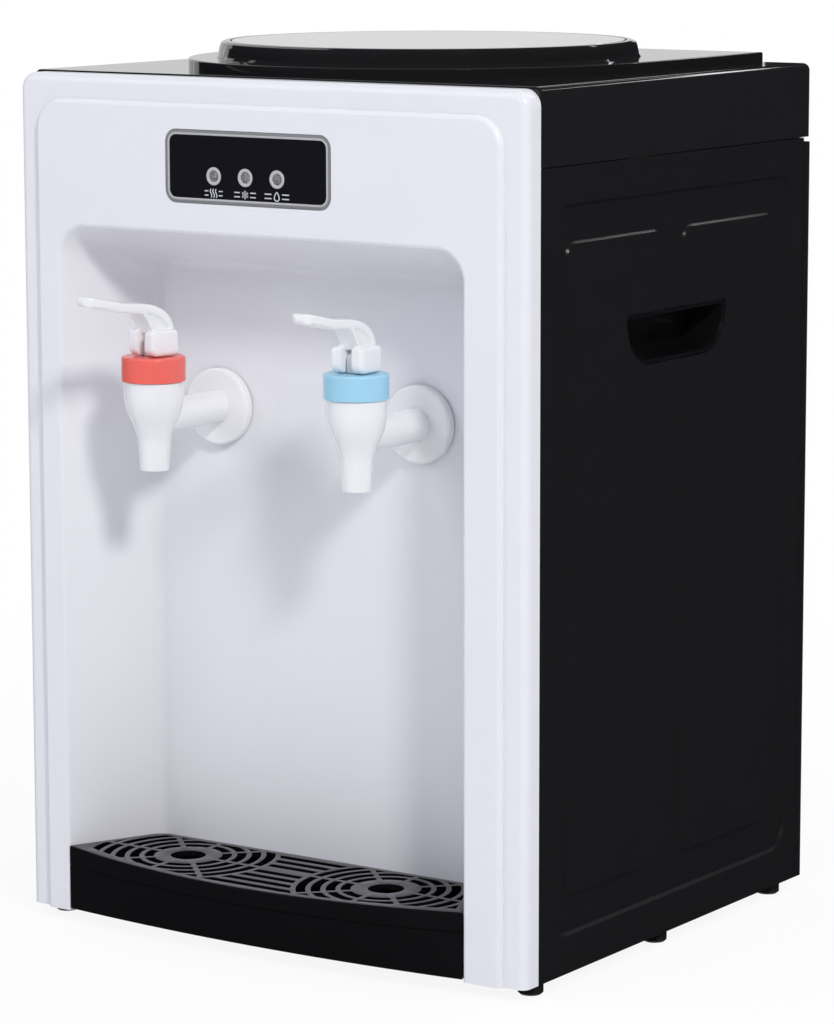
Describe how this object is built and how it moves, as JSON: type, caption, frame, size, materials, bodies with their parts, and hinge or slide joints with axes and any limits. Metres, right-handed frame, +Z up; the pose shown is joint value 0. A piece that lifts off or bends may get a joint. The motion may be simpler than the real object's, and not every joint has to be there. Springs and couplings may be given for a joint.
{
  "type": "water dispenser",
  "caption": "Countertop water dispenser with a white alcove front, hot and cold lever taps, indicator window, drip tray and a black casing that seats a bottle under a dust cover",
  "frame": {"origin": "on the floor under the feet, at the middle of the dispenser's footprint box", "axes": "+X to the dispenser's left as it faces the user, which is the right side seen from the front, -Y toward the user, +Z up"},
  "size_m": [0.29, 0.3278, 0.4298],
  "materials": {
    "white_casing": "moulded white plastic with a soft gloss",
    "black_casing": "moulded black plastic, glossy",
    "black_lid": "polished black plastic that mirrors light",
    "silver_trim": "silver grey painted trim",
    "black_window": "deep black glossy window",
    "lamp_ring": "bright plated ring",
    "lamp_lens": "frosted clear lens, unlit",
    "circuit_board": "green circuit board",
    "white_fittings": "natural white plastic",
    "screw_steel": "plated steel",
    "foot_rubber": "soft black rubber",
    "switch_black": "fine grained black plastic",
    "red_switch": "red switch key",
    "blue_switch": "blue switch key",
    "tank_steel": "drawn stainless steel",
    "clear_silicone": "translucent white silicone",
    "foam": "white beaded foam",
    "cast_aluminium": "machined aluminium",
    "ceramic": "pale ceramic",
    "zinc_sheet": "galvanised sheet",
    "heater_steel": "heat tinted steel band",
    "electronic_parts": "dark moulded parts",
    "tap_white": "glossy white plastic",
    "hot_red": "coral red plastic",
    "cold_blue": "sky blue plastic"
  },
  "bodies": {
    "casing": {"front_panel": "white_casing", "led_bezel": "silver_trim", "led_window": "black_window", "led_rings": "lamp_ring", "led_lenses": "lamp_lens", "led_board": "circuit_board", "top_cover": "black_casing", "bottle_collar": "black_casing", "bottle_seat": "white_fittings", "bottle_probe": "white_fittings", "side_panel_right": "black_casing", "side_panel_left": "black_casing", "grip_cups": "black_casing", "rear_panel": "black_casing", "rear_screws": "screw_steel", "base_plate": "black_casing", "feet": "foot_rubber", "switch_housings": "switch_black", "cord_gland": "switch_black", "drain_outlet": "white_fittings", "cold_tank": "tank_steel", "tank_gasket": "clear_silicone", "tank_separator": "white_fittings", "cold_jacket": "foam", "cooling_block": "cast_aluminium", "cooling_module": "ceramic", "heat_sink": "cast_aluminium", "fan_housing": "switch_black", "tank_frame": "zinc_sheet", "hot_tank": "tank_steel", "hot_tank_stand": "zinc_sheet", "heater_band": "heater_steel", "hot_jacket": "foam", "thermostats": "ceramic", "power_board": "circuit_board", "board_components": "electronic_parts", "hot_tap_body": "tap_white", "hot_tap_cap": "hot_red", "cold_tap_body": "tap_white", "cold_tap_cap": "cold_blue", "tap_gaskets": "clear_silicone", "tap_nuts": "tap_white", "water_hoses": "clear_silicone"},
    "hot_tap_turn": {"hot_tap_spring": "screw_steel"},
    "hot_tap_valve": {"hot_tap_stem": "tap_white", "hot_tap_plug": "clear_silicone", "hot_tap_pin": "screw_steel"},
    "hot_tap_lever": {"hot_tap_lever": "tap_white"},
    "cold_tap_turn": {"cold_tap_spring": "screw_steel"},
    "cold_tap_valve": {"cold_tap_stem": "tap_white", "cold_tap_plug": "clear_silicone", "cold_tap_pin": "screw_steel"},
    "cold_tap_lever": {"cold_tap_lever": "tap_white"},
    "dust_cover": {"dust_cover": "black_lid"},
    "drip_tray": {"drip_tray": "black_casing"},
    "drip_grille": {"drip_grille": "black_casing"},
    "hot_switch": {"hot_switch": "red_switch"},
    "cold_switch": {"cold_switch": "blue_switch"},
    "fan": {"fan_rotor": "switch_black"},
    "drain_cap": {"drain_cap": "switch_black"}
  },
  "joints": [
    {"name": "hot_tap_swivel", "type": "hinge", "parent": "casing", "child": "hot_tap_turn", "pos_m": [-0.0584, -0.1189, 0.2856], "axis": [0, 0, 1], "range_deg": [-70, 80]},
    {"name": "hot_tap_lift", "type": "slide", "parent": "hot_tap_turn", "child": "hot_tap_valve", "axis": [0, 0, 1], "range_m": [0, 0.00168], "deforming": ["hot_tap_spring"]},
    {"name": "hot_tap_press", "type": "hinge", "parent": "hot_tap_valve", "child": "hot_tap_lever", "pos_m": [-0.0584, -0.1189, 0.2916], "axis": [0.9848, -0.1736, 0], "range_deg": [0, 22], "stiffness_Nm_per_rad": 0.2, "springref_deg": -14.32},
    {"name": "cold_tap_swivel", "type": "hinge", "parent": "casing", "child": "cold_tap_turn", "pos_m": [0.0584, -0.1189, 0.2856], "axis": [0, 0, 1], "range_deg": [-75, 75]},
    {"name": "cold_tap_lift", "type": "slide", "parent": "cold_tap_turn", "child": "cold_tap_valve", "axis": [0, 0, 1], "range_m": [0, 0.00168], "deforming": ["cold_tap_spring"]},
    {"name": "cold_tap_press", "type": "hinge", "parent": "cold_tap_valve", "child": "cold_tap_lever", "pos_m": [0.0584, -0.1189, 0.2916], "axis": [1, 0, 0], "range_deg": [0, 22], "stiffness_Nm_per_rad": 0.2, "springref_deg": -14.32},
    {"name": "dust_cover_lift", "type": "slide", "parent": "casing", "child": "dust_cover", "axis": [0, 0, 1], "range_m": [0, 0.06]},
    {"name": "drip_tray_pull", "type": "slide", "parent": "casing", "child": "drip_tray", "axis": [0, -1, 0], "range_m": [0, 0.1]},
    {"name": "drip_grille_lift", "type": "slide", "parent": "drip_tray", "child": "drip_grille", "axis": [0, 0, 1], "range_m": [0, 0.05]},
    {"name": "hot_switch_rock", "type": "hinge", "parent": "casing", "child": "hot_switch", "pos_m": [0.108, 0.1481, 0.098], "axis": [1, 0, 0], "range_deg": [-20, 0]},
    {"name": "cold_switch_rock", "type": "hinge", "parent": "casing", "child": "cold_switch", "pos_m": [0.084, 0.1481, 0.098], "axis": [1, 0, 0], "range_deg": [-20, 0]},
    {"name": "fan_spin", "type": "hinge", "parent": "casing", "child": "fan", "pos_m": [0, 0.1396, 0.318], "axis": [0, 1, 0], "continuous": true},
    {"name": "drain_cap_pull", "type": "slide", "parent": "casing", "child": "drain_cap", "axis": [0, 1, 0], "range_m": [0, 0.03]}
  ],
  "couplings": [
    {"joint": "hot_tap_press", "follows": "hot_tap_lift", "rad_per_m": 227.27},
    {"joint": "cold_tap_press", "follows": "cold_tap_lift", "rad_per_m": 227.27}
  ]
}
